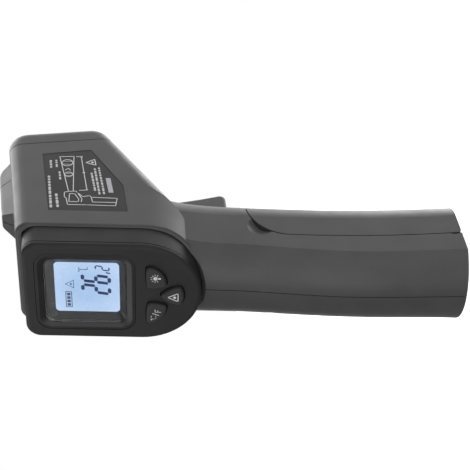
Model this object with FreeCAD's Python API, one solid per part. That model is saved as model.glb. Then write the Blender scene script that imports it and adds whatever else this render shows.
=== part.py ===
"""Pistol-grip infrared thermometer, as separate pieces.

Drawn upright in millimetres: +X forward, +Y to the left, +Z up. While it is drawn, x = 0 is the
display face and z = 0 the height of its keys' lower edge. The grip is plumb and the barrel
rises forward by RAKE. At the end every piece is moved so that the origin is the middle of the
bottom of the whole object's box.
"""

import FreeCAD, Part
import math
import os

V = FreeCAD.Vector

# Driving dimensions
HALF_WIDTH = 20.75  # of the head
WALL = 2.0
RAKE = 8.9  # degrees, barrel above square to the grip
FIT = 0.15  # gap between fixed shells
RUN = 0.4  # gap round moving pieces
DOOR_GAP = 0.35  # round the battery door
SEAM = 0.3  # width and depth of the grooves where shells meet
RIM_ROUND = 1.2  # edge of the casing round the hood
RIM_X = 9.2  # rear edge of the casing
TOP_AT_RIM = 60.1  # height of the head there
NOSE_X, NOSE_Z = 66.3, 40.0  # a point on the nose's front plane
UNDER_X, UNDER_Z, UNDER_SLOPE = 67.2, 35.7, 32.5  # a point on the sloping underside, degrees
CAP_LENGTH = 8.6  # nose cap
ARCH_Z = 18.6  # centre of the head's round bottom edge
GRIP_FOOT_Z, GRIP_FOOT_SLOPE = -88.4, 0.113  # the sloping end, where x is 0
EDGE_ROUND = 4.5
FACE_TOP, FACE_FOOT = 57.3, -0.7
FACE_HALF = 19.8
FACE_ROUND = 1.3  # edge of the display face
FACE_SEAM_X = 1.8  # groove round the hood behind the face
HOOD_DEPTH = 13.0
FACE_WALL = 1.8
HUMP_HEIGHT, HUMP_HALF, HUMP_CREST_HALF, HUMP_ROUND = 4.2, 5.8, 2.7, 1.8
HUMP_REAR, HUMP_FRONT = 25.4, 54.7  # along the barrel, from the rim

RAISE = math.tan(math.radians(RAKE))
ALONG = V(math.cos(math.radians(RAKE)), 0, math.sin(math.radians(RAKE)))
UPWARD = V(-math.sin(math.radians(RAKE)), 0, math.cos(math.radians(RAKE)))
SIDE = V(0, 1, 0)
BEAM = V(64.5, 0, 51.4)  # middle of the nose's front
LENS_HEIGHT, LASER_HEIGHT = -2.5, 11.5  # from the beam
LASER_RADIUS = 3.0
PIN_SPOTS = [(1.8, 1.8), (1.8, -1.8), (-1.8, 1.8), (-1.8, -1.8)]  # of the sensor

# Grip sections: height, rear x, front x, half width
GRIP_SECTIONS = [
    (17.0, 7.0, 36.0, 19.1),
    (9.0, 4.5, 35.9, 16.9),
    (0.0, 3.0, 35.7, 15.7),
    (-12.0, 2.6, 35.4, 15.35),
    (-32.0, 1.3, 35.3, 15.1),
    (-60.0, 0.6, 36.0, 15.1),
    (-92.0, 1.8, 38.0, 15.9),
]

DISPLAY_Z = 37.2
GLASS_X = 3.3  # front of the display glass
VIEW_HALF, VIEW_LOW, VIEW_HIGH = 10.5, 26.2, 47.4  # what the frame leaves visible of it
WINDOW_HALF = 13.5  # the clear window is this far from its middle to each side
STEM_SPOTS = [(-7.87, 14.1), (7.87, 14.1), (0.0, 8.3)]  # of the keys, as (y, z)
BOARD_X, BOARD_WALL = 8.6, 1.6
TRIGGER_PIVOT = V(36.0, 0, 21.5)
TRIGGER_HALF = 6.0  # half its width
DOOR_PIVOT = V(18.4, 0, -84.0)
DOOR_HEEL = 2.4  # radius of the door behind and below its pin
DOOR_TOP, DOOR_REAR = -14.4, 14.3
SCREW_SPOTS = [(22.0, 55.0), (46.5, 27.5), (10.0, -24.6)]
POST_RADIUS = 3.6
BATTERY_FOOT, BATTERY_HEIGHT = -79.4, 46.5
BATTERY_X, BATTERY_DEPTH, BATTERY_THICK = 6.0, 26.3, 17.2


def box(low, high):
    """A block between two corners."""
    return Part.makeBox(high[0] - low[0], high[1] - low[1], high[2] - low[2], V(*low))


def rod(start, direction, radius, length):
    """A cylinder that starts at a point and runs along a direction."""
    return Part.makeCylinder(radius, length, start, direction)


def cross_rod(x, z, radius, low_y, high_y):
    """A cylinder parallel to Y."""
    return rod(V(x, low_y, z), SIDE, radius, high_y - low_y)


def joined(shapes):
    """All shapes fused, with their shared faces cleaned up."""
    return shapes[0].multiFuse(shapes[1:]).removeSplitter()


def mirrored(shape):
    """The shape on the other side of the middle plane."""
    return shape.mirror(V(0, 0, 0), SIDE)


def both_sides(shape):
    """The shape and its mirror image, as one list."""
    return [shape, mirrored(shape)]


def on_barrel(back, side, height):
    """A point given from the middle of the nose: how far back, left and above the beam."""
    return BEAM - ALONG * back + SIDE * side + UPWARD * height


def closed_face(edges):
    """A flat face inside a closed run of edges."""
    return Part.Face(Part.Wire(Part.__sortEdges__(edges)))


def polygon(points):
    """Straight edges through the points and back to the first."""
    ends = points[1:] + points[:1]
    return [Part.LineSegment(a, b).toShape() for a, b in zip(points, ends)]


def side_prism(points, low_y, high_y):
    """A polygon given as (x, z), as thick as the two y values say."""
    face = closed_face(polygon([V(x, low_y, z) for x, z in points]))
    return face.extrude(V(0, high_y - low_y, 0))


def soften(shape, radius, chosen):
    """Round the edges that the test picks."""
    edges = [edge for edge in shape.Edges if chosen(edge)]
    return shape.makeFillet(radius, edges)


def runs_along(edge, direction):
    """Whether an edge is straight and parallel to a direction."""
    if not isinstance(edge.Curve, Part.Line):
        return False
    return abs(edge.tangentAt(edge.FirstParameter).dot(direction)) > 0.999


def panel(low_x, high_x, half_y, low_z, high_z, radius):
    """A plate square to X with four round corners."""
    plate = box((low_x, -half_y, low_z), (high_x, half_y, high_z))
    return soften(plate, radius, lambda edge: runs_along(edge, V(1, 0, 0)))


def panel_wire(x, half_y, low_z, high_z, radius):
    """The outline of such a plate, at one x."""
    plate = panel(x, x + 1.0, half_y, low_z, high_z, radius)
    return min(plate.Faces, key=lambda face: face.CenterOfMass.x).OuterWire


def arch_wire(x, half, foot, top, radius):
    """An outline square to X: round below, with two round corners on top."""
    middle, shoulder = foot + half, top - radius
    lean = radius * (1 - math.sqrt(0.5))
    left, right = V(x, half, middle), V(x, -half, middle)
    left_up, right_up = V(x, half, shoulder), V(x, -half, shoulder)
    top_left, top_right = V(x, half - radius, top), V(x, radius - half, top)
    return Part.Wire(
        [
            Part.Arc(left, V(x, 0, foot), right).toShape(),
            Part.LineSegment(right, right_up).toShape(),
            Part.Arc(right_up, V(x, lean - half, top - lean), top_right).toShape(),
            Part.LineSegment(top_right, top_left).toShape(),
            Part.Arc(top_left, V(x, half - lean, top - lean), left_up).toShape(),
            Part.LineSegment(left_up, left).toShape(),
        ]
    )


def crossing(point_a, angle_a, point_b, angle_b):
    """Where two lines in the side view meet; each is a point and an angle in degrees."""
    ax, az = math.cos(math.radians(angle_a)), math.sin(math.radians(angle_a))
    bx, bz = math.cos(math.radians(angle_b)), math.sin(math.radians(angle_b))
    gap_x, gap_z = point_b[0] - point_a[0], point_b[1] - point_a[1]
    reach = (gap_x * bz - gap_z * bx) / (ax * bz - az * bx)
    return (point_a[0] + reach * ax, point_a[1] + reach * az)


def nose_line(inset):
    """A point on the nose's front plane, moved back by the inset."""
    return (NOSE_X - inset * ALONG.x, NOSE_Z - inset * ALONG.z)


def head_solid(inset, rear_x):
    """The head without its grip: a five-sided side view with round edges and a round bottom."""
    slope = math.radians(UNDER_SLOPE)
    top = (RIM_X - inset * UPWARD.x, TOP_AT_RIM - inset * UPWARD.z)
    under = (UNDER_X - inset * math.sin(slope), UNDER_Z + inset * math.cos(slope))
    nose = nose_line(inset)
    corners = [
        crossing(top, RAKE, (rear_x, 0), 90),
        crossing(top, RAKE, nose, 90 + RAKE),
        crossing(under, UNDER_SLOPE, nose, 90 + RAKE),
        crossing(under, UNDER_SLOPE, (rear_x, 0), 90),
    ]
    half = HALF_WIDTH - inset
    body = side_prism(corners, -half, half)
    front_x = corners[1][0] - 1.0
    body = soften(
        body,
        7.0 - inset,
        lambda edge: runs_along(edge, SIDE) and edge.CenterOfMass.x > front_x,
    )
    body = soften(
        body,
        EDGE_ROUND - inset,
        lambda edge: abs(abs(edge.CenterOfMass.y) - half) < 0.01
        and edge.CenterOfMass.x > rear_x + 0.1,
    )
    below = box((-20, -30, -60), (90, 30, ARCH_Z))
    round_bottom = rod(V(-20, 0, ARCH_Z), V(1, 0, 0), half, 110)
    return body.cut(below.cut(round_bottom))


def grip_wire(section, inset):
    """The grip's outline at one height: a bowed rear and a broad round front."""
    height, rear, front, half = section
    rear, front, half = rear + inset, front - inset, half - inset
    corner = 12.0 - inset
    lean = corner * (1 - math.sqrt(0.5))
    haunch, pinch = rear + 6.4 - 0.4 * inset, half - 0.7
    rear_left, rear_right = V(haunch, pinch, height), V(haunch, -pinch, height)
    left, right = V(front - corner, half, height), V(front - corner, -half, height)
    nose_left, nose_right = V(front, half - corner, height), V(front, corner - half, height)
    return Part.Wire(
        [
            Part.Arc(rear_left, V(rear, 0, height), rear_right).toShape(),
            Part.LineSegment(rear_right, right).toShape(),
            Part.Arc(right, V(front - lean, lean - half, height), nose_right).toShape(),
            Part.LineSegment(nose_right, nose_left).toShape(),
            Part.Arc(nose_left, V(front - lean, half - lean, height), left).toShape(),
            Part.LineSegment(left, rear_left).toShape(),
        ]
    )


def below_foot(inset):
    """Everything under the grip's sloping end."""
    low_x, high_x, foot = -20, 80, GRIP_FOOT_Z + inset
    rear, front = foot + low_x * GRIP_FOOT_SLOPE, foot + high_x * GRIP_FOOT_SLOPE
    return side_prism([(low_x, -120), (high_x, -120), (high_x, front), (low_x, rear)], -40, 40)


def grip_solid(inset):
    """The grip, flared at its top where it runs into the head."""
    wires = [grip_wire(section, inset) for section in GRIP_SECTIONS]
    return Part.makeLoft(wires, True, False).cut(below_foot(inset))


def on_roof(along, side, height):
    """A point given from the middle of the head's upper rear edge, along the barrel."""
    return V(RIM_X, 0, TOP_AT_RIM) + ALONG * along + SIDE * side + UPWARD * height


def hump_solid(inset):
    """The low ridge on the head's top that ends above the nose, with sloping sides."""
    foot, crown = -9.0, HUMP_HEIGHT - inset
    spread, crest = HUMP_HALF - inset, HUMP_CREST_HALF - 0.4 * inset
    splay = spread + (spread - crest) / crown * -foot
    rear, front = HUMP_REAR + inset, HUMP_FRONT - inset
    profile = [
        on_roof(rear, -30, foot),
        on_roof(rear, -30, 0),
        on_roof(rear + 0.8 * crown, -30, crown),
        on_roof(front - 0.85 * crown, -30, crown),
        on_roof(front - 0.3 * crown, -30, 0.65 * crown),
        on_roof(front, -30, 0),
        on_roof(front, -30, foot),
    ]
    section = [
        on_roof(0, -splay, foot),
        on_roof(0, splay, foot),
        on_roof(0, crest, crown),
        on_roof(0, -crest, crown),
    ]
    long = closed_face(polygon(section)).extrude(ALONG * 70)
    ridge = closed_face(polygon(profile)).extrude(SIDE * 60).common(long)
    limit = on_roof(0, 0, crown - 0.3).dot(UPWARD)
    return soften(
        ridge,
        HUMP_ROUND - 0.4 * inset,
        lambda edge: runs_along(edge, ALONG) and edge.CenterOfMass.dot(UPWARD) > limit,
    )


def ahead_of_seam(shift):
    """Everything in front of the joint between casing and nose cap."""
    seam = BEAM - ALONG * (CAP_LENGTH - shift)
    block = Part.makeBox(60, 80, 120, V(0, -40, -60))
    block.rotate(V(0, 0, 0), SIDE, -RAKE)
    block.translate(seam)
    return block


def behind_rim():
    """What the casing's rear edge leaves free: upright, then swept back under the face."""
    side = -30
    start, end = V(RIM_X, side, 13), V(2.2, side, -2.6)
    sweep = Part.Arc(start, V(7.3, side, 3.6), end).toShape()
    points = [end, V(-20, side, end.z), V(-20, side, 90), V(RIM_X, side, 90), start]
    sides = [Part.LineSegment(a, b).toShape() for a, b in zip(points, points[1:])]
    return closed_face([sweep] + sides).extrude(V(0, 60, 0))


def hood_solid(gap):
    """The rear hood's outside, tapering a little towards the face."""
    face = arch_wire(0, FACE_HALF + gap, FACE_FOOT - gap, FACE_TOP + gap, 5.0)
    foot = arch_wire(HOOD_DEPTH, FACE_HALF + 0.1 + gap, FACE_FOOT - 0.1 - gap, FACE_TOP + 0.9 + gap, 5.0)
    return Part.makeLoft([face, foot], True, True)


def door_region(gap):
    """The front of the grip that belongs to the battery door, seen from the side."""
    top, rear, side = DOOR_TOP - gap, DOOR_REAR + gap, -30
    shoulder = V(26.0, side, top - 0.8)
    waist, foot = V(rear, side, -31.0), V(rear + 2.6, side, -90.0)
    bend = Part.Arc(shoulder, V(17.6 + gap, side, -20.4 - gap), waist).toShape()
    flank = Part.Arc(waist, V(rear + 0.5, side, -60.0), foot).toShape()
    points = [foot, V(60, side, -90.0), V(60, side, top), V(36, side, top), shoulder]
    sides = [Part.LineSegment(a, b).toShape() for a, b in zip(points, points[1:])]
    return closed_face([bend, flank] + sides).extrude(V(0, 60, 0))


def trigger_opening():
    """The slot in the front of the neck that the trigger moves in."""
    upper = [(24, 19), (31, 25.8), (39.0, 25.8), (42.4, 19.2)]
    outline = upper + [(60, 16), (60, -14), (30, -12.4), (30, 4)]
    return side_prism(outline, -TRIGGER_HALF - RUN, TRIGGER_HALF + RUN)


def finger_scoop():
    """The shallow hollow beside the door's top corner, on the right-hand side."""
    return Part.makeSphere(8.0, V(18.0, -21.6, -20.0))


def label_outline(inset):
    """The side label's five corners, with the barrel-parallel edges worked out."""
    rear, low = 17.0 + inset, 23.9 + inset
    top_left = (rear, 49.9 - inset)
    top_right = (48.6 - inset, 49.9 - inset + (31.6 - 2 * inset) * RAISE)
    return [
        (rear, low),
        top_left,
        top_right,
        (51.6 - inset, 38.4 + 0.6 * inset),
        (31.4, 26.2 + inset),
    ]


def rimmed_head():
    """The head cut off at its rim, with a round edge all the way."""
    head = head_solid(0, -6.0).cut(behind_rim())

    def on_rim(edge):
        at_rim = all(vertex.X < RIM_X + 0.01 for vertex in edge.Vertexes)
        return at_rim and (edge.CenterOfMass.z > ARCH_Z or not runs_along(edge, SIDE))

    return soften(head, RIM_ROUND, on_rim)


def casing_shell():
    """Both casing halves in one, hollow, with every opening cut."""
    outside = joined([rimmed_head(), grip_solid(0).cut(behind_rim()), hump_solid(0)])
    outside = outside.cut(ahead_of_seam(0))
    hollow = joined([head_solid(WALL, -8.0), grip_solid(WALL)])
    collar = outside.common(box((-10, -30, -4), (HOOD_DEPTH - 2.5, 30, ARCH_Z)))
    shell = joined([outside.cut(hollow).cut(hump_solid(1.6)), collar]).cut(parting_groove(outside))
    posts = [cross_rod(x, z, POST_RADIUS, -30, 30) for x, z in SCREW_SPOTS]
    posts += both_sides(cross_rod(TRIGGER_PIVOT.x, TRIGGER_PIVOT.z, 3.4, TRIGGER_HALF + RUN, 30))
    rail = box((18.4, 6.4, -10.0), (23.0, 30, 8.0))
    posts += both_sides(rail.cut(box((19.75, 0, -9.65), (21.65, 7.65, 7.65))))
    fill = joined(posts).common(joined([head_solid(1.0, -8.0), grip_solid(1.0)]))
    shell = joined([shell, fill])
    shell = shell.cut(behind_rim()).cut(hood_solid(FIT))
    hinge_room = cross_rod(DOOR_PIVOT.x, DOOR_PIVOT.z, DOOR_HEEL + 0.2, -30, 30)
    shell = shell.cut(door_region(0)).cut(hinge_room)
    shell = shell.cut(trigger_opening())
    for scoop in both_sides(finger_scoop()):
        shell = shell.cut(scoop)
    return joined([shell] + hinge_lugs())


def parting_groove(outside):
    """A shallow groove all round, where the two halves meet."""
    band = outside.common(box((-30, -SEAM / 2, -120), (120, SEAM / 2, 120)))
    return band.cut(joined([head_solid(SEAM, -6.0), grip_solid(SEAM), hump_solid(SEAM)]))


def hinge_lugs():
    """Ears of the casing that hold the door's hinge pin."""
    x, z = DOOR_PIVOT.x, DOOR_PIVOT.z
    lug = joined([box((7.0, 11.4, z - 1.9), (x, 13.4, z + 1.9)), cross_rod(x, z, 1.9, 11.4, 13.4)])
    tie = box((6.0, 11.4, z - 2.4), (10.5, 15.5, z + 6.0)).common(grip_solid(0.8))
    return [part for half in (lug, tie) for part in both_sides(half)]


def pin_holes():
    """Bores in the casing for the trigger's pin and the door's pin."""
    pivot, hinge = TRIGGER_PIVOT, DOOR_PIVOT
    return [
        cross_rod(pivot.x, pivot.z, 1.27, -9.6, 9.6),
        cross_rod(hinge.x, hinge.z, 1.02, -13.2, 13.2),
    ]


def casing_halves():
    """The right half with screw pilots and the label's recess, the left with screw holes."""
    shell = casing_shell()
    for hole in pin_holes():
        shell = shell.cut(hole)
    right = shell.common(box((-30, -40, -120), (120, 0, 120)))
    left = shell.common(box((-30, 0, -120), (120, 40, 120)))
    for x, z in SCREW_SPOTS:
        right = right.cut(cross_rod(x, z, 1.2, -10.5, 0))
        left = left.cut(cross_rod(x, z, 1.6, -1, 40)).cut(cross_rod(x, z, 2.9, 7.0, 40))
    recess = side_prism(label_outline(0), -HALF_WIDTH - 5, -HALF_WIDTH + 0.45)
    return right.cut(recess), left


def side_label():
    """The printed plate in the right half's recess."""
    return side_prism(label_outline(FIT), -HALF_WIDTH + 0.1, -HALF_WIDTH + 0.45)


def nose_cap():
    """The front frame, with the infrared opening, the laser's hole and a spigot behind."""
    outside = joined([head_solid(0, -6.0), hump_solid(0)]).common(ahead_of_seam(SEAM))
    hollow = head_solid(WALL, -8.0).cut(ahead_of_seam(CAP_LENGTH - 2.6))
    spigot = head_solid(WALL + FIT, -8.0).common(ahead_of_seam(-3.0))
    root = head_solid(1.0, -8.0).common(ahead_of_seam(SEAM)).cut(ahead_of_seam(1.6))
    ring = joined([spigot.cut(ahead_of_seam(2 * SEAM)), root]).cut(head_solid(WALL + 1.4, -8.0))
    cap = joined([outside.cut(hollow), ring])
    mouth = Part.makeCone(9.2, 7.2, 2.7, on_barrel(-0.1, 0, LENS_HEIGHT), ALONG * -1)
    laser_hole = rod(on_barrel(-0.1, 0, LASER_HEIGHT), ALONG * -1, 2.2, 4.0)
    laser_room = rod(on_barrel(3.6, 0, LASER_HEIGHT), ALONG * -1, LASER_RADIUS + FIT, 10.0)
    return cap.cut(mouth).cut(laser_hole).cut(laser_room)


def lens_tube():
    """The black barrel behind the infrared opening, stepped for its lens and sensor."""
    start = on_barrel(2.8, 0, LENS_HEIGHT)
    back = ALONG * -1
    tube = joined([rod(start, back, 10.2, 3.0), rod(start, back, 9.2, 27.0)])
    tube = tube.cut(rod(start, back, 8.0, 5.2))
    tube = tube.cut(rod(start, back, 6.6, 22.0))
    return tube.cut(rod(start, back, 4.3, 28.0))


def infrared_lens():
    """A flat-backed lens with a crowned front."""
    start = on_barrel(5.0, 0, LENS_HEIGHT)
    disc = rod(start, ALONG * -1, 7.9, 3.0)
    ball = Part.makeSphere(24.0, start - ALONG * 23.8)
    return disc.common(ball)


def lens_ring():
    """The ring that holds the lens against its step."""
    start = on_barrel(2.9, 0, LENS_HEIGHT)
    ring = rod(start, ALONG * -1, 7.95, 2.0)
    return ring.cut(rod(start, ALONG * -1, 6.9, 2.0))


def thermopile_sensor():
    """A metal can with a flange, a window recess and four pins."""
    face = on_barrel(24.9, 0, LENS_HEIGHT)
    back = ALONG * -1
    can = joined([rod(face, back, 4.1, 4.2), rod(face - ALONG * 3.4, back, 4.25, 0.8)])
    can = can.cut(rod(face, back, 1.5, 0.5))
    root = face - ALONG * 4.0
    pins = [rod(root + SIDE * y + UPWARD * height, back, 0.25, 4.0) for y, height in PIN_SPOTS]
    return joined([can] + pins)


def sensor_board():
    """The small square board that the sensor is soldered to."""
    board = Part.makeBox(1.2, 15.0, 15.0, V(0, -7.5, -7.5))
    for y, height in PIN_SPOTS:
        board = board.cut(rod(V(-1, y, height), V(1, 0, 0), 0.3, 4))
    board.rotate(V(0, 0, 0), SIDE, -RAKE)
    board.translate(on_barrel(31.4, 0, LENS_HEIGHT))
    return board


def laser_module():
    """A brass tube with a narrower front, above the lens barrel."""
    back = ALONG * -1
    tube = rod(on_barrel(5.0, 0, LASER_HEIGHT), back, LASER_RADIUS, 12.0)
    tip = rod(on_barrel(3.8, 0, LASER_HEIGHT), back, 2.3, 2.0)
    return joined([tube, tip]).cut(rod(on_barrel(3.7, 0, LASER_HEIGHT), back, 1.2, 6.0))


def laser_window():
    """The clear disc in the laser's hole."""
    return rod(on_barrel(1.0, 0, LASER_HEIGHT), ALONG * -1, 2.1, 1.2)


def rear_hood():
    """The dark hood with the display's opening, three key holes and four board posts."""
    hood = hood_solid(0)
    hood = soften(hood, FACE_ROUND, lambda edge: edge.BoundBox.XMax < 0.01).cut(face_groove())
    room = Part.makeLoft(
        [
            arch_wire(FACE_WALL, FACE_HALF - 1.7, FACE_FOOT + 1.7, FACE_TOP - 1.7, 3.4),
            arch_wire(HOOD_DEPTH + 1, FACE_HALF - 1.6, FACE_FOOT + 1.6, FACE_TOP - 0.8, 3.4),
        ],
        True,
        True,
    )
    hood = hood.cut(room)
    posts = [rod(V(FACE_WALL, y, z), V(1, 0, 0), 1.45, BOARD_X - FACE_WALL) for y, z in board_spots()]
    hood = joined([hood] + posts)
    for y, z in board_spots():
        hood = hood.cut(rod(V(FACE_WALL + 1, y, z), V(1, 0, 0), 0.75, 10))
    hood = hood.cut(panel(-1, 3, 16.0, DISPLAY_Z - 16.4, DISPLAY_Z + 16.4, 5.0))
    for hole in key_holes():
        hood = hood.cut(hole)
    return hood


def face_groove():
    """A fine groove round the hood's side, just behind the face."""
    band = hood_solid(0).common(box((FACE_SEAM_X, -30, -10), (FACE_SEAM_X + SEAM, 30, 80)))
    return band.cut(hood_solid(-SEAM))


def board_spots():
    """Where the main board is screwed down, as (y, z)."""
    return [(-14.9, 19.6), (14.9, 19.6), (-11.5, 53.9), (11.5, 53.9)]


def key_prism(corners, bulges, low_x, high_x, inset, radius):
    """A three-sided key outline of arcs, shrunk by the inset, with round corners."""
    middle_y = sum(corner[0] for corner in corners) / 3
    middle_z = sum(corner[1] for corner in corners) / 3
    reach = max(math.hypot(y - middle_y, z - middle_z) for y, z in corners)
    scale = 1 - 1.35 * inset / reach

    def place(point):
        y = middle_y + (point[0] - middle_y) * scale
        return V(low_x, y, middle_z + (point[1] - middle_z) * scale)

    ends = corners[1:] + corners[:1]
    edges = [Part.Arc(place(a), place(m), place(b)).toShape() for a, m, b in zip(corners, bulges, ends)]
    prism = closed_face(edges).extrude(V(high_x - low_x, 0, 0))
    return soften(prism, radius, lambda edge: runs_along(edge, V(1, 0, 0)))


LAMP_CORNERS = [(-12.4, 17.4), (-3.0, 17.0), (-4.2, 10.3)]
LAMP_BULGES = [(-7.7, 17.6), (-3.0, 13.6), (-10.3, 12.6)]
LASER_CORNERS = [(0.0, 13.2), (4.2, 5.9), (-4.2, 5.9)]
LASER_BULGES = [(3.1, 9.9), (0.0, 4.6), (-3.1, 9.9)]


def key_holes():
    """The three openings for the keys."""
    side = key_prism(LAMP_CORNERS, LAMP_BULGES, -3.0, 3.0, 0, 1.4)
    lower = key_prism(LASER_CORNERS, LASER_BULGES, -3.0, 3.0, 0, 1.4)
    return both_sides(side) + [lower]


def key_cap(corners, bulges, stem_spot):
    """One rubber key: a domed cap, a flange behind the face and a stem."""
    cap = key_prism(corners, bulges, -1.5, 2.6, 0.35, 1.3)
    cap = soften(cap, 0.9, lambda edge: edge.BoundBox.XMax < -1.49)
    flange = key_prism(corners, bulges, 2.1, 3.0, -0.4, 1.3)
    stem = rod(V(2.8, *stem_spot), V(1, 0, 0), 2.3, 3.1)
    return joined([cap, flange, stem])


def window_frame():
    """The sloping frame round the display, with a flange behind the face."""
    flange_x = FACE_WALL + 0.8
    collar = panel(0.1, flange_x, 15.85, DISPLAY_Z - 16.25, DISPLAY_Z + 16.25, 4.85)
    flange = panel(FACE_WALL, flange_x, 16.9, DISPLAY_Z - 16.9, DISPLAY_Z + 16.9, 4.0)
    ring = joined([collar, flange])
    hole = panel(-1, 5, WINDOW_HALF, DISPLAY_Z - WINDOW_HALF, DISPLAY_Z + WINDOW_HALF, 3.0)
    slope = Part.makeLoft(
        [
            panel_wire(-0.2, 15.7, DISPLAY_Z - 16.1, DISPLAY_Z + 16.1, 4.8),
            panel_wire(0.7, WINDOW_HALF, DISPLAY_Z - WINDOW_HALF, DISPLAY_Z + WINDOW_HALF, 3.0),
        ],
        True,
        True,
    )
    for y, z in board_spots():
        ring = ring.cut(rod(V(1, y, z), V(1, 0, 0), 1.6, 3))
    return ring.cut(hole).cut(slope)


def display_window():
    """The clear plate over the display."""
    half = WINDOW_HALF - 0.1
    return panel(0.8, 1.8, half, DISPLAY_Z - half, DISPLAY_Z + half, 2.9)


def display_frame():
    """The black frame that clamps the display to the board, with a funnel towards the window."""
    body = box((2.9, -15.4, DISPLAY_Z - 15.0), (BOARD_X, 15.4, DISPLAY_Z + 14.6))
    half = WINDOW_HALF - 0.2
    frame = joined([body, panel(1.9, 3.0, half, DISPLAY_Z - half, DISPLAY_Z + half, 2.8)])
    frame = frame.cut(box((GLASS_X, -13.1, DISPLAY_Z - 13.4), (20, 13.1, DISPLAY_Z + 13.4)))
    funnel = Part.makeLoft(
        [
            panel_wire(1.8, half - 0.2, DISPLAY_Z - half + 0.2, DISPLAY_Z + half - 0.2, 2.6),
            panel_wire(GLASS_X, VIEW_HALF, VIEW_LOW, VIEW_HIGH, 1.4),
        ],
        True,
        True,
    )
    return frame.cut(funnel)


def display_panel():
    """The liquid-crystal glass."""
    return box((GLASS_X, -12.9, DISPLAY_Z - 13.2), (4.9, 12.9, DISPLAY_Z + 13.2))


def light_guide():
    """The diffuser behind the glass."""
    return box((4.9, -12.4, 27.0), (7.5, 12.4, 47.4))


def backlight_lamps():
    """Two small lamps on the board, behind the diffuser."""
    lamps = [box((7.6, y, 36.2), (BOARD_X, y + 3.2, 38.2)) for y in (-8.0, 4.8)]
    return Part.makeCompound(lamps)


def rubber_contacts():
    """The two striped rubber strips between glass and board."""
    strips = [box((4.9, -11.5, z), (BOARD_X, 11.5, z + 1.9)) for z in (24.4, 48.0)]
    return Part.makeCompound(strips)


def main_board():
    """The circuit board across the head, round below like the face."""
    start = arch_wire(BOARD_X, 16.9, 3.3, 55.2, 2.5)
    board = Part.Face(start).extrude(V(BOARD_WALL, 0, 0))
    for y, z in board_spots():
        board = board.cut(rod(V(BOARD_X - 1, y, z), V(1, 0, 0), 0.85, 5))
    return board


def main_chip():
    """The processor on the back of the board."""
    back = BOARD_X + BOARD_WALL
    return box((back, -13.0, 28.0), (back + 1.4, -3.6, 37.4))


def buzzer():
    """The round sounder on the back of the board."""
    back = V(BOARD_X + BOARD_WALL, 8.5, 40.0)
    can = rod(back, V(1, 0, 0), 4.5, 3.6)
    return can.cut(rod(back + V(3.0, 0, 0), V(1, 0, 0), 0.8, 1.0))


def board_screws():
    """Four small pan-head screws."""
    back = BOARD_X + BOARD_WALL
    screws = []
    for y, z in board_spots():
        head = rod(V(back, y, z), V(1, 0, 0), 1.35, 1.0)
        shank = rod(V(back - 6.0, y, z), V(1, 0, 0), 0.7, 6.5)
        slot = box((back + 0.6, y - 0.8, z - 0.15), (back + 2, y + 0.8, z + 0.15))
        screws.append(joined([head, shank]).cut(slot))
    return Part.makeCompound(screws)


def dome_switches():
    """Three push switches on the board, one behind each key."""
    switches = []
    for y, z in STEM_SPOTS:
        base = box((7.3, y - 2.6, z - 2.6), (BOARD_X, y + 2.6, z + 2.6))
        switches.append(joined([base, rod(V(6.8, y, z), V(1, 0, 0), 1.4, 0.8)]))
    return Part.makeCompound(switches)


def key_web():
    """The thin sheet that the keys' stems pass through."""
    web = Part.Face(arch_wire(4.4, 12.6, 3.2, 18.0, 1.5)).extrude(V(0.8, 0, 0))
    for y, z in STEM_SPOTS:
        web = web.cut(rod(V(4, y, z), V(1, 0, 0), 2.6, 3))
    return web


def trigger():
    """The sprung lever in front of the neck, with a hollow front for the finger."""
    pivot = TRIGGER_PIVOT
    side = -TRIGGER_HALF
    tip, shoulder = V(47.6, side, -8.2), V(40.6, side, 17.6)
    front = Part.Arc(shoulder, V(42.9, side, 6.6), tip).toShape()
    back = [V(34.0, side, -9.6), V(32.0, side, -6.0), V(32.6, side, 20.0), V(38.6, side, 23.4)]
    points = [tip] + back + [shoulder]
    sides = [Part.LineSegment(a, b).toShape() for a, b in zip(points, points[1:])]
    blade = closed_face([front] + sides).extrude(V(0, 2 * TRIGGER_HALF, 0))
    blade = soften(blade, 2.0, lambda edge: runs_along(edge, SIDE) and edge.CenterOfMass.x > 46)
    blade = soften(
        blade,
        1.0,
        lambda edge: abs(abs(edge.CenterOfMass.y) - TRIGGER_HALF) < 0.01 and edge.CenterOfMass.x > 41.0,
    )
    blade = joined([blade, cross_rod(pivot.x, pivot.z, 3.6, -TRIGGER_HALF, TRIGGER_HALF)])
    hollow = side_prism([(28, 17), (28, 3.0), (37.0, 3.0), (37.5, 14.0)], -4.4, 4.4)
    blade = blade.cut(hollow).cut(cross_rod(pivot.x, pivot.z, 4.8, 2.2, 7))
    return blade.cut(cross_rod(pivot.x, pivot.z, 1.31, -9, 9))


def trigger_pin():
    """The steel pin that the trigger turns on."""
    return cross_rod(TRIGGER_PIVOT.x, TRIGGER_PIVOT.z, 1.25, -9.5, 9.5)


def trigger_spring():
    """A torsion spring round the pin; one leg reaches down behind the trigger's front."""
    coil = Part.Wire(Part.makeHelix(0.62, 2.48, 2.3).Edges)
    ring = Part.Wire(Part.makeCircle(0.25, V(2.3, 0, 0), V(0, 1, 0)))
    spring = coil.makePipeShell([ring], True, True)
    spring.rotate(V(0, 0, 0), V(1, 0, 0), -90)
    start = V(TRIGGER_PIVOT.x, 2.9, TRIGGER_PIVOT.z)
    spring.translate(start)
    leg = rod(start + V(2.3, 0, 0.2), V(-0.15, 0, -1), 0.25, 4.0)
    return joined([spring, leg])


def trigger_switch():
    """The small lever switch behind the trigger."""
    body = box((21.5, -3.0, -7.0), (27.5, 3.0, 5.0))
    return joined([body, rod(V(27.4, 0, -1.0), V(1, 0, 0), 1.0, 1.6)])


def switch_bracket():
    """The small upright board that carries the trigger's switch."""
    return box((19.9, -7.5, -9.5), (21.5, 7.5, 7.5))


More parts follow.
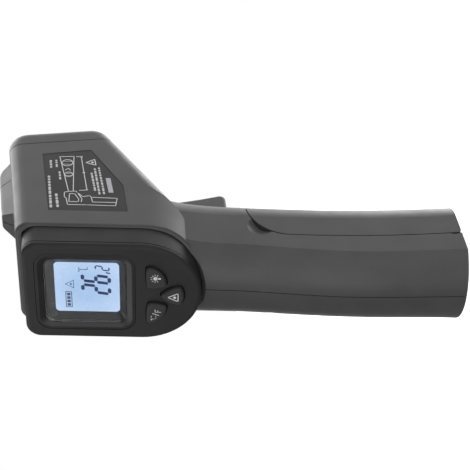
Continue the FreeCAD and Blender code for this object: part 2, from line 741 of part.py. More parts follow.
def door_arms():
    """Two ears inside the door's foot, next to the casing's, that turn on the pin."""
    x, z = DOOR_PIVOT.x, DOOR_PIVOT.z
    ear = joined([box((x - 1.9, 7.4, z - 4.4), (x + 1.9, 10.6, z)), cross_rod(x, z, 1.9, 7.4, 10.6)])
    return both_sides(ear.cut(below_foot(0.6)))


def battery_door():
    """The front half of the grip, which tips forward on its hinge pin."""
    x, z = DOOR_PIVOT.x, DOOR_PIVOT.z
    door = grip_solid(0).cut(grip_solid(WALL)).common(door_region(DOOR_GAP))
    for notch in both_sides(box((10.0, 10.9, -95), (x + 4.0, 13.9, -80.5))):
        door = door.cut(notch)
    door = joined([door] + door_arms())
    heel = box((x - 20, -30, z - 20), (x, 30, z)).cut(cross_rod(x, z, DOOR_HEEL, -30, 30))
    return door.cut(heel).cut(cross_rod(x, z, 1.05, -13.5, 13.5))


def door_pin():
    """The steel pin of the door's hinge."""
    return cross_rod(DOOR_PIVOT.x, DOOR_PIVOT.z, 1.0, -13.1, 13.1)


def battery():
    """A nine-volt block with its two snap terminals on top."""
    block = box(
        (BATTERY_X, -BATTERY_THICK / 2, BATTERY_FOOT),
        (BATTERY_X + BATTERY_DEPTH, BATTERY_THICK / 2, BATTERY_FOOT + BATTERY_HEIGHT),
    )
    block = soften(block, 1.6, lambda edge: runs_along(edge, V(0, 0, 1)))
    top = BATTERY_FOOT + BATTERY_HEIGHT
    small, large = terminal_spots()
    studs = [rod(V(x, 0, top), V(0, 0, 1), radius, 2.2) for x, radius in ((small, 2.8), (large, 4.0))]
    return joined([block] + studs)


def terminal_spots():
    """The x of the small and the large terminal."""
    middle = BATTERY_X + BATTERY_DEPTH / 2
    return middle - 6.35, middle + 6.35


def battery_snap():
    """The snap connector that sits on the terminals."""
    top = BATTERY_FOOT + BATTERY_HEIGHT
    snap = box((BATTERY_X + 0.9, -6.2, top + 0.3), (BATTERY_X + BATTERY_DEPTH - 0.9, 6.2, top + 4.0))
    snap = soften(snap, 2.5, lambda edge: runs_along(edge, V(0, 0, 1)))
    small, large = terminal_spots()
    snap = snap.cut(rod(V(small, 0, top), V(0, 0, 1), 2.9, 2.5))
    return snap.cut(rod(V(large, 0, top), V(0, 0, 1), 4.1, 2.5))


def lead(points, radius):
    """A round wire through the points: straight runs joined by tangent arcs."""
    edges = []
    start = points[0]
    for before, corner, after in zip(points, points[1:], points[2:]):
        into, away = (corner - before), (after - corner)
        shorter = min(into.Length, away.Length)
        into.normalize()
        away.normalize()
        turn = math.acos(max(-1.0, min(1.0, into.dot(away))))
        reach = 0.45 * shorter
        bend = reach / math.tan(turn / 2)
        first, last = corner - into * reach, corner + away * reach
        inward = away - into
        inward.normalize()
        middle = corner + inward * (bend / math.cos(turn / 2) - bend)
        edges.append(Part.LineSegment(start, first).toShape())
        edges.append(Part.Arc(first, middle, last).toShape())
        start = last
    edges.append(Part.LineSegment(start, points[-1]).toShape())
    path = Part.Wire(edges)
    heading = points[1] - points[0]
    ring = Part.Wire(Part.makeCircle(radius, points[0], heading))
    return path.makePipeShell([ring], True, False)


def battery_leads():
    """Red and black wires from the snap up behind the main board."""
    top = BATTERY_FOOT + BATTERY_HEIGHT + 4.0
    back = BOARD_X + BOARD_WALL
    leads = []
    for y, landing in ((4.6, 21.5), (-4.6, 24.0)):
        points = [
            V(14.6, y, top),
            V(14.6, y, top + 6.0),
            V(15.6, y * 1.25, -12.0),
            V(15.2, y * 1.3, 4.0),
            V(16.4, y * 1.1, landing - 3.0),
            V(back + 1.6, y, landing),
            V(back, y, landing),
        ]
        leads.append(lead(points, 0.65))
    return leads


def casing_screws():
    """Three self-tapping screws that pull the halves together from the left."""
    screws = []
    for x, z in SCREW_SPOTS:
        head = cross_rod(x, z, 2.5, 7.0, 8.8)
        shank = cross_rod(x, z, 1.15, -9.0, 7.5)
        level = box((x - 1.6, 8.0, z - 0.3), (x + 1.6, 10, z + 0.3))
        plumb = box((x - 0.3, 8.0, z - 1.6), (x + 0.3, 10, z + 1.6))
        screws.append(joined([head, shank]).cut(level).cut(plumb))
    return Part.makeCompound(screws)


def laser_leads():
    """Two thin wires from the laser to the main board."""
    back = BOARD_X + BOARD_WALL
    wires = []
    for y in (-1.2, 1.2):
        start, spread = on_barrel(17.0, y, LASER_HEIGHT), 2 * y
        bend = V(30.0, spread, 52.0)
        points = [start, start - ALONG * 6.0, bend, V(17.0, spread, 49.6), V(back, spread, 49.6)]
        wires.append(lead(points, 0.4))
    return Part.makeCompound(wires)


def sensor_leads():
    """Four thin wires from the sensor's board to the main board."""
    back = BOARD_X + BOARD_WALL
    wires = []
    for place in range(4):
        y = 1.3 * (place - 1.5)
        start = on_barrel(32.6, y, -6.0)
        points = [start, start - ALONG * 5.0, V(20.5, y, 36.5), V(back, y, 36.5)]
        wires.append(lead(points, 0.35))
    return Part.makeCompound(wires)


def pieces():
    """Every piece, by name."""
    right, left = casing_halves()
    red, black = battery_leads()
    lamp_key = key_cap(LAMP_CORNERS, LAMP_BULGES, STEM_SPOTS[0])
    return {
        "casing_right": right,
        "casing_left": left,
        "nose_cap": nose_cap(),
        "side_label": side_label(),
        "lens_tube": lens_tube(),
        "infrared_lens": infrared_lens(),
        "lens_ring": lens_ring(),
        "thermopile_sensor": thermopile_sensor(),
        "sensor_board": sensor_board(),
        "sensor_leads": sensor_leads(),
        "laser_module": laser_module(),
        "laser_window": laser_window(),
        "laser_leads": laser_leads(),
        "rear_hood": rear_hood(),
        "window_frame": window_frame(),
        "display_window": display_window(),
        "display_frame": display_frame(),
        "display_panel": display_panel(),
        "light_guide": light_guide(),
        "backlight_lamps": backlight_lamps(),
        "rubber_contacts": rubber_contacts(),
        "main_board": main_board(),
        "main_chip": main_chip(),
        "buzzer": buzzer(),
        "board_screws": board_screws(),
        "dome_switches": dome_switches(),
        "key_web": key_web(),
        "backlight_key": lamp_key,
        "unit_key": mirrored(lamp_key),
        "laser_key": key_cap(LASER_CORNERS, LASER_BULGES, STEM_SPOTS[2]),
        "trigger": trigger(),
        "trigger_pin": trigger_pin(),
        "trigger_spring": trigger_spring(),
        "trigger_switch": trigger_switch(),
        "switch_bracket": switch_bracket(),
        "battery_door": battery_door(),
        "door_pin": door_pin(),
        "battery": battery(),
        "battery_snap": battery_snap(),
        "battery_lead_red": red,
        "battery_lead_black": black,
        "casing_screws": casing_screws(),
    }


def main():
    """Move the origin to the middle of the whole box's bottom and write one STEP per piece."""
    os.makedirs("parts", exist_ok=True)
    made = pieces()
    whole = Part.makeCompound(list(made.values())).optimalBoundingBox(False)
    shift = V(-(whole.XMin + whole.XMax) / 2, -(whole.YMin + whole.YMax) / 2, -whole.ZMin)
    print("shift", shift, "size", whole.XLength, whole.YLength, whole.ZLength)
    for name, shape in made.items():
        shape = shape.copy()
        shape.translate(shift)
        print(f"{name:20s} solids {len(shape.Solids)} valid {shape.isValid()} volume {shape.Volume:.1f}")
        shape.exportStep(f"parts/{name}.step")


main()
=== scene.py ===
"""Finishes, prints and studio for a pistol-grip infrared thermometer.

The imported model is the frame: its pieces keep their shapes and get their finishes here. The
prints on the label, the keys and the display are thin pieces of their own.
"""

import logging
import math
import random
from dataclasses import dataclass, field
from enum import Enum
from typing import Callable

import bmesh
import bpy
from mathutils import Matrix, Vector

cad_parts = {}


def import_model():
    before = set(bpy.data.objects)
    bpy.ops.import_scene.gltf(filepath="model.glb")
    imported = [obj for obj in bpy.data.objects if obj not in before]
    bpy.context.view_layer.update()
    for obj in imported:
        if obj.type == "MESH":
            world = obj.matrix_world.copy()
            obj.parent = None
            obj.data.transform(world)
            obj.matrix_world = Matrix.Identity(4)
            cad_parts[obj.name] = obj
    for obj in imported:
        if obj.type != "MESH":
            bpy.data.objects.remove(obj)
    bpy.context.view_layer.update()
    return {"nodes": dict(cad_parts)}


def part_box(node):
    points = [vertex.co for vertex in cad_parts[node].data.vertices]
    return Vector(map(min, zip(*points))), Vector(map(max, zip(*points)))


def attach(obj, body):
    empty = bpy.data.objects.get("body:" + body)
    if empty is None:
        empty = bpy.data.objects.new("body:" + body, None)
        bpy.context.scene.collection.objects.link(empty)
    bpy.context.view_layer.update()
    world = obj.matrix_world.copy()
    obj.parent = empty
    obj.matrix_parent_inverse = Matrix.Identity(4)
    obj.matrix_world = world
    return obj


MM = 0.001
HOOD_LIP = 0.8 * MM  # from the hood's lowest point up to the keys' lower edge
LOG = logging.getLogger("thermometer")
DISC_SIDES = 24
RING_SIDES = 36
CHAIN_SIDES = 8  # round ends of chained strokes and of figure bars
FINE_SIDES = 6  # round ends of the smallest strokes

Colour = tuple[float, float, float]
Spot = tuple[float, float]
Place = tuple[float, float, float]


class Body(Enum):
    """The moving bodies that pieces ride on."""

    HOUSING = "housing"
    BACKLIGHT = "backlight_button"
    UNIT = "unit_button"
    LASER = "laser_button"


# ---------------------------------------------------------------- shader tools


class Shader:
    """One material's node tree, with short calls to add and join nodes."""

    def __init__(self, name: str) -> None:
        """Start an empty material with an output and a principled shader.

        Args:
            name: The material's name.
        """
        self.material = bpy.data.materials.new(name)
        self.material.use_nodes = True
        self.tree = self.material.node_tree
        self.tree.nodes.clear()
        self.output = self.tree.nodes.new("ShaderNodeOutputMaterial")
        self.surface = self.tree.nodes.new("ShaderNodeBsdfPrincipled")
        self.join(self.surface.outputs["BSDF"], self.output.inputs["Surface"])
        self.coordinates = self.tree.nodes.new("ShaderNodeTexCoord")

    def join(self, start: bpy.types.NodeSocket, end: bpy.types.NodeSocket) -> None:
        """Link one socket to another."""
        self.tree.links.new(start, end)

    def add(self, kind: str, **sockets: float) -> bpy.types.Node:
        """Add a node and set some of its inputs.

        Args:
            kind: The node's type name, without the ShaderNode prefix.
            sockets: Input values by socket name, with underscores for spaces.

        Returns:
            The new node.
        """
        node = self.tree.nodes.new("ShaderNode" + kind)
        for socket, value in sockets.items():
            node.inputs[socket.replace("_", " ")].default_value = value
        return node

    def set(self, **sockets: object) -> None:
        """Set inputs of the principled shader by name, with underscores for spaces."""
        for socket, value in sockets.items():
            self.surface.inputs[socket.replace("_", " ")].default_value = value

    def noise(self, feature: float, detail: float = 3.0, rough: float = 0.5) -> bpy.types.NodeSocket:
        """Make noise with features of one size.

        Args:
            feature: The size of a feature in metres.
            detail: How many finer layers are added.
            rough: How strong the finer layers are.

        Returns:
            The noise's value socket.
        """
        node = self.add("TexNoise", Scale=1.0 / feature, Detail=detail, Roughness=rough)
        self.join(self.coordinates.outputs["Object"], node.inputs["Vector"])
        return node.outputs["Fac"]

    def remap(
        self, value: bpy.types.NodeSocket, low: float, high: float, to_low: float, to_high: float
    ) -> bpy.types.NodeSocket:
        """Stretch a value from one range to another, clamped.

        Args:
            value: The socket to read.
            low: The input that becomes to_low.
            high: The input that becomes to_high.
            to_low: The lowest result.
            to_high: The highest result.

        Returns:
            The stretched value.
        """
        node = self.add("MapRange", From_Min=low, From_Max=high, To_Min=to_low, To_Max=to_high)
        self.join(value, node.inputs["Value"])
        return node.outputs["Result"]

    def blend(self, factor: bpy.types.NodeSocket, first: Colour, second: Colour) -> bpy.types.NodeSocket:
        """Mix two colours by a factor.

        Args:
            factor: The socket that says how much of the second colour shows.
            first: The colour at 0.
            second: The colour at 1.

        Returns:
            The mixed colour.
        """
        node = self.tree.nodes.new("ShaderNodeMix")
        node.data_type = "RGBA"
        self.join(factor, node.inputs[0])
        node.inputs[6].default_value = (*first, 1.0)
        node.inputs[7].default_value = (*second, 1.0)
        return node.outputs[2]

    def relief(self, height: bpy.types.NodeSocket, depth: float, strength: float = 1.0) -> None:
        """Give the surface a bump.

        Args:
            height: The bump's height, from 0 to 1.
            depth: The height in metres that 1 stands for.
            strength: How much of the bump shows.
        """
        node = self.add("Bump", Strength=strength, Distance=depth)
        self.join(height, node.inputs["Height"])
        self.join(node.outputs["Normal"], self.surface.inputs["Normal"])


def lighter(colour: Colour, factor: float) -> Colour:
    """Scale a colour's brightness by a factor."""
    return tuple(min(1.0, channel * factor) for channel in colour)


# ---------------------------------------------------------------- finishes


@dataclass(frozen=True)
class Plastic:
    """Moulded plastic with an eroded-tool grain, faint clouding and handled patches."""

    name: str
    colour: Colour
    roughness: float
    grain: float = 0.00022
    grain_depth: float = 0.000012
    clouding: float = 0.10
    polish: float = 0.06
    specular: float = 0.5

    def build(self) -> bpy.types.Material:
        """Make the material.

        Returns:
            The finished material.
        """
        shader = Shader(self.name)
        cloud = shader.noise(0.016, detail=4.0)
        tint = shader.blend(
            shader.remap(cloud, 0.35, 0.65, 0.0, 1.0),
            lighter(self.colour, 1.0 - self.clouding),
            lighter(self.colour, 1.0 + self.clouding),
        )
        shader.join(tint, shader.surface.inputs["Base Color"])
        handled = shader.noise(0.009, detail=5.0, rough=0.6)
        rough = shader.remap(handled, 0.3, 0.7, self.roughness - self.polish, self.roughness + self.polish)
        shader.join(rough, shader.surface.inputs["Roughness"])
        shader.set(Specular_IOR_Level=self.specular)
        shader.relief(shader.noise(self.grain, detail=2.0), self.grain_depth, 0.8)
        return shader.material


@dataclass(frozen=True)
class Rubber:
    """Soft dark rubber with a dusty bloom."""

    name: str
    colour: Colour
    roughness: float = 0.62

    def build(self) -> bpy.types.Material:
        """Make the material.

        Returns:
            The finished material.
        """
        shader = Shader(self.name)
        dust = shader.noise(0.0012, detail=6.0, rough=0.7)
        tint = shader.blend(
            shader.remap(dust, 0.45, 0.75, 0.0, 1.0), self.colour, lighter(self.colour, 1.5)
        )
        shader.join(tint, shader.surface.inputs["Base Color"])
        rough = shader.remap(dust, 0.3, 0.7, self.roughness - 0.08, self.roughness + 0.1)
        shader.join(rough, shader.surface.inputs["Roughness"])
        shader.relief(shader.noise(0.00015, detail=2.0), 0.000008, 0.7)
        return shader.material


@dataclass(frozen=True)
class Metal:
    """Plated or turned metal with fine streaks along one axis."""

    name: str
    colour: Colour
    roughness: float = 0.3

    def build(self) -> bpy.types.Material:
        """Make the material.

        Returns:
            The finished material.
        """
        shader = Shader(self.name)
        streaks = shader.add("TexNoise", Scale=1.0, Detail=3.0)
        stretch = shader.add("Mapping", Scale=(300.0, 4000.0, 4000.0))
        shader.join(shader.coordinates.outputs["Object"], stretch.inputs["Vector"])
        shader.join(stretch.outputs["Vector"], streaks.inputs["Vector"])
        tint = shader.blend(streaks.outputs["Fac"], lighter(self.colour, 0.8), self.colour)
        shader.join(tint, shader.surface.inputs["Base Color"])
        rough = shader.remap(streaks.outputs["Fac"], 0.3, 0.7, self.roughness - 0.08, self.roughness + 0.12)
        shader.join(rough, shader.surface.inputs["Roughness"])
        shader.set(Metallic=1.0)
        shader.relief(streaks.outputs["Fac"], 0.000004, 0.5)
        return shader.material


@dataclass(frozen=True)
class Clear:
    """Clear or tinted plastic or glass, with the faintest smears."""

    name: str
    colour: Colour
    roughness: float = 0.0

    def build(self) -> bpy.types.Material:
        """Make the material.

        Returns:
            The finished material.
        """
        shader = Shader(self.name)
        smear = shader.noise(0.006, detail=5.0, rough=0.65)
        tint = shader.blend(smear, lighter(self.colour, 0.97), self.colour)
        shader.join(tint, shader.surface.inputs["Base Color"])
        rough = shader.remap(smear, 0.4, 0.8, self.roughness, self.roughness + 0.006)
        shader.join(rough, shader.surface.inputs["Roughness"])
        shader.set(Transmission_Weight=1.0, IOR=1.46)
        return shader.material


@dataclass(frozen=True)
class Ink:
    """Printed ink, a little uneven."""

    name: str
    colour: Colour
    roughness: float = 0.5

    def build(self) -> bpy.types.Material:
        """Make the material.

        Returns:
            The finished material.
        """
        shader = Shader(self.name)
        uneven = shader.noise(0.0004, detail=3.0)
        tint = shader.blend(
            shader.remap(uneven, 0.3, 0.7, 0.0, 1.0), lighter(self.colour, 0.82), self.colour
        )
        shader.join(tint, shader.surface.inputs["Base Color"])
        shader.set(Roughness=self.roughness)
        shader.relief(uneven, 0.000004, 0.4)
        return shader.material


@dataclass(frozen=True)
class LitScreen:
    """A backlit liquid-crystal screen, brighter towards its edges."""

    name: str
    middle: Vector
    half: Spot
    inner: Colour = (0.40, 0.59, 0.86)
    outer: Colour = (0.56, 0.72, 0.97)
    glow: float = 1.0

    def build(self) -> bpy.types.Material:
        """Make the material.

        Returns:
            The finished material.
        """
        shader = Shader(self.name)
        place = shader.add("Mapping")
        place.vector_type = "POINT"
        place.inputs["Scale"].default_value = (0.0, 1.0 / self.half[0], 1.0 / self.half[1])
        place.inputs["Location"].default_value = (
            0.0,
            -self.middle.y / self.half[0],
            -self.middle.z / self.half[1],
        )
        shader.join(shader.coordinates.outputs["Object"], place.inputs["Vector"])
        reach = shader.add("VectorMath")
        reach.operation = "LENGTH"
        shader.join(place.outputs["Vector"], reach.inputs[0])
        cells = shader.noise(0.0007, detail=2.0)
        edge = shader.remap(reach.outputs["Value"], 0.45, 1.3, 0.0, 1.0)
        tint = shader.blend(edge, self.inner, self.outer)
        grain = shader.tree.nodes.new("ShaderNodeMix")
        grain.data_type = "RGBA"
        grain.blend_type = "MULTIPLY"
        grain.inputs[0].default_value = 1.0
        shader.join(tint, grain.inputs[6])
        speckle = shader.blend(shader.remap(cells, 0.3, 0.7, 0.0, 1.0), (0.95, 0.95, 0.96), (1.0, 1.0, 1.0))
        shader.join(speckle, grain.inputs[7])
        shader.join(grain.outputs[2], shader.surface.inputs["Emission Color"])
        glass = shader.blend(shader.remap(cells, 0.3, 0.7, 0.0, 1.0), (0.05, 0.06, 0.08), (0.07, 0.08, 0.10))
        shader.join(glass, shader.surface.inputs["Base Color"])
        shader.set(Emission_Strength=self.glow, Roughness=0.35)
        return shader.material


# ---------------------------------------------------------------- print tools


@dataclass(frozen=True)
class Surface:
    """A flat surface to print on, with directions as a reader sees them."""

    origin: Vector
    right: Vector
    up: Vector

    def outward(self) -> Vector:
        """Return the direction towards the reader."""
        return self.right.cross(self.up).normalized()

    def matrix(self) -> Matrix:
        """Return the placement that takes flat artwork to the surface."""
        columns = (self.right.normalized(), self.up.normalized(), self.outward())
        turn = Matrix(columns).transposed()
        return Matrix.Translation(self.origin) @ turn.to_4x4()


class Artwork:
    """Flat shapes drawn in millimetres, then raised a hair and laid on a surface."""

    def __init__(self, name: str) -> None:
        """Start an empty drawing in edit mode.

        Args:
            name: The finished piece's name.
        """
        bpy.ops.object.select_all(action="DESELECT")
        mesh = bpy.data.meshes.new(name)
        self.piece = bpy.data.objects.new(name, mesh)
        bpy.context.scene.collection.objects.link(self.piece)
        bpy.context.view_layer.objects.active = self.piece
        self.piece.select_set(True)
        bpy.ops.object.mode_set(mode="EDIT")

    def _select_new(self, keep: Callable[[Vector], bool]) -> None:
        """Select only the newly added vertices that a test keeps.

        Args:
            keep: The test of a vertex's place.
        """
        net = bmesh.from_edit_mesh(self.piece.data)
        for vertex in net.verts:
            if vertex.select and not keep(vertex.co):
                vertex.select = False
        net.select_flush(False)
        bmesh.update_edit_mesh(self.piece.data)

    def stroke(self, start: Spot, end: Spot, width: float, sides: int = 10) -> None:
        """Draw a straight stroke with round ends.

        Args:
            start: Where it starts, in millimetres.
            end: Where it ends, in millimetres.
            width: Its width in millimetres.
            sides: How many corners a whole round end would have.
        """
        first, last = Vector((*start, 0.0)) * MM, Vector((*end, 0.0)) * MM
        run = last - first
        bpy.ops.mesh.select_all(action="DESELECT")
        bpy.ops.mesh.primitive_circle_add(
            vertices=sides,
            radius=width * MM / 2,
            fill_type="NGON",
            location=first,
            rotation=(0.0, 0.0, math.atan2(run.y, run.x) + math.pi / sides),
        )
        self._select_new(lambda place: (place - first).dot(run) > 0)
        bpy.ops.transform.translate(value=run)

    def chain(self, spots: list[Spot], width: float, closed: bool = False) -> None:
        """Draw strokes from spot to spot.

        Args:
            spots: The corners, in millimetres.
            width: The strokes' width in millimetres.
            closed: Whether the last spot joins the first.
        """
        ends = spots[1:] + (spots[:1] if closed else [])
        for start, end in zip(spots, ends):
            self.stroke(start, end, width, sides=CHAIN_SIDES)

    def disc(self, centre: Spot, radius: float, stretch: float = 1.0) -> None:
        """Draw a filled circle or ellipse.

        Args:
            centre: Its middle, in millimetres.
            radius: Its half width in millimetres.
            stretch: Its height over its width.
        """
        place = Vector((*centre, 0.0)) * MM
        bpy.ops.mesh.select_all(action="DESELECT")
        bpy.ops.mesh.primitive_circle_add(
            vertices=DISC_SIDES, radius=radius * MM, fill_type="NGON", location=place
        )
        bpy.ops.transform.resize(value=(1.0, stretch, 1.0), center_override=place)

    def ring(self, centre: Spot, radius: float, width: float, stretch: float = 1.0) -> None:
        """Draw a circle or ellipse as a line.

        Args:
            centre: Its middle, in millimetres.
            radius: Its half width in millimetres.
            width: The line's width in millimetres.
            stretch: Its height over its width.
        """
        place = Vector((*centre, 0.0)) * MM
        bpy.ops.mesh.select_all(action="DESELECT")
        bpy.ops.mesh.primitive_circle_add(
            vertices=RING_SIDES, radius=radius * MM, fill_type="NOTHING", location=place
        )
        bpy.ops.transform.resize(value=(1.0, stretch, 1.0), center_override=place)
        bpy.ops.mesh.extrude_edges_move()
        inner_wide = 1.0 - width / radius
        inner_high = 1.0 - width / (radius * stretch)
        bpy.ops.transform.resize(value=(inner_wide, inner_high, 1.0), center_override=place)

    def block(self, low: Spot, high: Spot) -> None:
        """Draw a filled rectangle.

        Args:
            low: Its lower left corner, in millimetres.
            high: Its upper right corner, in millimetres.
        """
        middle = Vector(((low[0] + high[0]) / 2, (low[1] + high[1]) / 2, 0.0)) * MM
        bpy.ops.mesh.select_all(action="DESELECT")
        bpy.ops.mesh.primitive_plane_add(size=MM, location=middle)
        size = (high[0] - low[0], high[1] - low[1], 1.0)
        bpy.ops.transform.resize(value=size, center_override=middle)

    def tilt(self, slope: float, start: float) -> None:
        """Make rightward lines rise, keeping upright lines upright.

        Args:
            slope: The rise per unit to the right.
            start: Where the rise begins, in millimetres.
        """
        net = bmesh.from_edit_mesh(self.piece.data)
        for vertex in net.verts:
            vertex.co.y += slope * (vertex.co.x - start * MM)
        bmesh.update_edit_mesh(self.piece.data)

    def lean(self, slope: float) -> None:
        """Slant the whole drawing like italics.

        Args:
            slope: The shift to the right per unit of height.
        """
        net = bmesh.from_edit_mesh(self.piece.data)
        for vertex in net.verts:
            vertex.co.x += slope * vertex.co.y
        bmesh.update_edit_mesh(self.piece.data)

    def lay(
        self,
        surface: Surface,
        thickness: float,
        finish: bpy.types.Material,
        body: Body = Body.HOUSING,
    ) -> bpy.types.Object:
        """Raise the drawing, put it on its surface and make it a finished piece.

        Args:
            surface: Where it goes.
            thickness: Its thickness in metres.
            finish: Its material.
            body: The body it rides on.

        Returns:
            The finished piece.
        """
        bpy.ops.mesh.select_all(action="SELECT")
        bpy.ops.mesh.extrude_region_move(TRANSFORM_OT_translate={"value": (0.0, 0.0, thickness)})
        bpy.ops.mesh.select_all(action="SELECT")
        bpy.ops.mesh.normals_make_consistent(inside=False)
        bpy.ops.object.mode_set(mode="OBJECT")
        self.piece.data.transform(surface.matrix())
        self.piece.data.materials.append(finish)
        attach(self.piece, body.value)
        bpy.ops.object.select_all(action="DESELECT")
        return self.piece


# ---------------------------------------------------------------- sub-assemblies


@dataclass
class Finishes:
    """Puts a finish on every node of the frame."""

    nodes: dict[str, bpy.types.Object]

    def plan(self) -> dict[str, list[str]]:
        """Return the nodes that each finish goes on, by the finish's name."""
        return {
            "casing_plastic": ["casing_right", "casing_left", "nose_cap", "battery_door"],
            "hood_plastic": ["rear_hood"],
            "trigger_plastic": ["trigger"],
            "frame_plastic": ["window_frame", "display_frame"],
            "inner_plastic": [
                "lens_tube",
                "lens_ring",
                "trigger_switch",
                "main_chip",
                "buzzer",
                "battery_snap",
            ],
            "label_foil": ["side_label"],
            "milky_plastic": ["light_guide", "backlight_lamps"],
            "board_lacquer": ["main_board", "sensor_board", "switch_bracket"],
            "battery_sleeve": ["battery"],
            "key_rubber": ["backlight_key", "unit_key", "laser_key", "key_web", "rubber_contacts"],
            "red_lead": ["battery_lead_red", "sensor_leads"],
            "black_lead": ["battery_lead_black", "laser_leads"],
            "plated_steel": [
                "thermopile_sensor",
                "board_screws",
                "casing_screws",
                "trigger_pin",
                "door_pin",
                "trigger_spring",
                "dome_switches",
            ],
            "turned_brass": ["laser_module"],
            "clear_window": ["display_window", "laser_window"],
            "silicon_lens": ["infrared_lens"],
        }

    def finishes(self) -> list[Plastic | Rubber | Metal | Clear]:
        """Return every finish that needs no place of its own."""
        return [
            Plastic("casing_plastic", (0.064, 0.064, 0.065), 0.40),
            Plastic("hood_plastic", (0.020, 0.0201, 0.0203), 0.50, grain_depth=0.000008, specular=0.35),
            Plastic("trigger_plastic", (0.070, 0.070, 0.071), 0.46),
            Plastic("frame_plastic", (0.010, 0.0099, 0.0098), 0.34, grain_depth=0.000002),
            Plastic("inner_plastic", (0.015, 0.015, 0.016), 0.55),
            Plastic(
                "label_foil",
                (0.018, 0.018, 0.0195),
                0.46,
                grain=0.0005,
                grain_depth=0.000004,
                specular=0.4,
            ),
            Plastic("milky_plastic", (0.80, 0.83, 0.86), 0.45),
            Plastic("board_lacquer", (0.012, 0.10, 0.045), 0.28, grain_depth=0.000003),
            Plastic("battery_sleeve", (0.10, 0.11, 0.13), 0.3),
            Rubber("key_rubber", (0.026, 0.026, 0.027)),
            Rubber("red_lead", (0.50, 0.02, 0.015), 0.4),
            Rubber("black_lead", (0.012, 0.012, 0.012), 0.4),
            Metal("plated_steel", (0.62, 0.62, 0.63)),
            Metal("turned_brass", (0.78, 0.58, 0.26)),
            Clear("clear_window", (0.96, 0.97, 0.98)),
            Clear("silicon_lens", (0.42, 0.40, 0.48), 0.05),
        ]

    def dress(self) -> None:
        """Build the finishes and put each on its nodes."""
        plan = self.plan()
        for finish in self.finishes():
            material = finish.build()
            for name in plan[finish.name]:
                dress_node(self.nodes[name], material)
            LOG.info("finish %s on %s", finish.name, ", ".join(plan[finish.name]))


def dress_node(node: bpy.types.Object, material: bpy.types.Material) -> None:
    """Put one material in every slot of a node.

    Args:
        node: The node to dress.
        material: What goes on it.
    """
    if not node.material_slots:
        node.data.materials.append(material)
    for slot in node.material_slots:
        slot.material = material


# seven bars of a figure: ends as fractions of its width and height
BARS: dict[str, tuple[Spot, Spot]] = {
    "top": ((0.0, 1.0), (1.0, 1.0)),
    "upper_left": ((0.0, 1.0), (0.0, 0.5)),
    "upper_right": ((1.0, 1.0), (1.0, 0.5)),
    "middle": ((0.0, 0.5), (1.0, 0.5)),
    "lower_left": ((0.0, 0.5), (0.0, 0.0)),
    "lower_right": ((1.0, 0.5), (1.0, 0.0)),
    "foot": ((0.0, 0.0), (1.0, 0.0)),
}
FIGURES: dict[str, list[str]] = {
    "2": ["top", "upper_right", "middle", "lower_left", "foot"],
    "6": ["top", "upper_left", "middle", "lower_left", "lower_right", "foot"],
    "C": ["top", "upper_left", "lower_left", "foot"],
}


@dataclass
class Display:
    """The lit screen and what it shows."""

    screen: bpy.types.Object
    key_foot_z: float
    visible_half: Spot = (10.5, 10.6)
    middle_height: float = 36.8
    ink_thickness: float = 0.00004

    def surface(self, height: float) -> Surface:
        """Return the screen's front.

        Args:
            height: How far the drawing's foot is above the keys' lower edge, in millimetres.

        Returns:
            The surface to print on.
        """
        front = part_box(self.screen.name)[0].x
        origin = Vector((front, 0.0, self.key_foot_z + height * MM))
        return Surface(origin, Vector((0.0, -1.0, 0.0)), Vector((0.0, 0.0, 1.0)))

    def figure(self, art: Artwork, name: str, low: Spot, size: Spot, width: float, gap: float) -> None:
        """Draw one seven-bar figure.

        Args:
            art: The drawing.
            name: The figure's key in FIGURES.
            low: Its lower left corner, in millimetres.
            size: Its width and height, in millimetres.
            width: The bars' width in millimetres.
            gap: How far a bar stops short of each corner, in millimetres.
        """
        for bar in FIGURES[name]:
            ends = [Vector((low[0] + x * size[0], low[1] + y * size[1])) for x, y in BARS[bar]]
            run = (ends[1] - ends[0]).normalized() * gap
            art.stroke(tuple(ends[0] + run), tuple(ends[1] - run), width, sides=CHAIN_SIDES)

    def build(self) -> None:
        """Light the screen and draw the reading and its signs."""
        middle = Vector((0.0, 0.0, self.key_foot_z + self.middle_height * MM))
        half = (self.visible_half[0] * MM, self.visible_half[1] * MM)
        dress_node(self.screen, LitScreen("lit_screen", middle, half).build())
        self.reading()
        self.signs()

    def reading(self) -> None:
        """Draw the reading in slanted bars."""
        art = Artwork("display_reading")
        self.figure(art, "2", (-2.75, 0.0), (2.75, 8.7), 1.25, 0.95)
        self.figure(art, "6", (1.7, 0.0), (2.75, 8.7), 1.25, 0.95)
        self.figure(art, "2", (7.15, 0.0), (1.45, 4.4), 0.5, 0.35)
        art.stroke((6.1, -0.1), (6.2, 0.8), 0.55)
        art.lean(0.14)
        ink = Ink("reading_ink", (0.020, 0.045, 0.20), 0.4).build()
        art.lay(self.surface(29.5), self.ink_thickness, ink)
        LOG.info("piece display_reading")

    def signs(self) -> None:
        """Draw the unit, the beam's triangle and a row of charge blocks."""
        art = Artwork("display_signs")
        self.figure(art, "C", (7.5, 36.5), (1.0, 2.8), 0.3, 0.2)
        art.ring((6.9, 39.3), 0.32, 0.14)
        art.chain([(-0.4, 41.2), (2.9, 41.2), (1.25, 43.9)], 0.2, closed=True)
        art.disc((1.25, 42.1), 0.36)
        art.chain([(-8.7, 42.0), (-2.1, 42.0), (-2.1, 43.9), (-8.7, 43.9)], 0.28, closed=True)
        for place in range(4):
            left = -8.2 + 1.5 * place
            art.block((left, 42.4), (left + 1.1, 43.5))
        ink = Ink("sign_ink", (0.07, 0.11, 0.22), 0.4).build()
        art.lay(self.surface(0.0), self.ink_thickness, ink)
        LOG.info("piece display_signs")


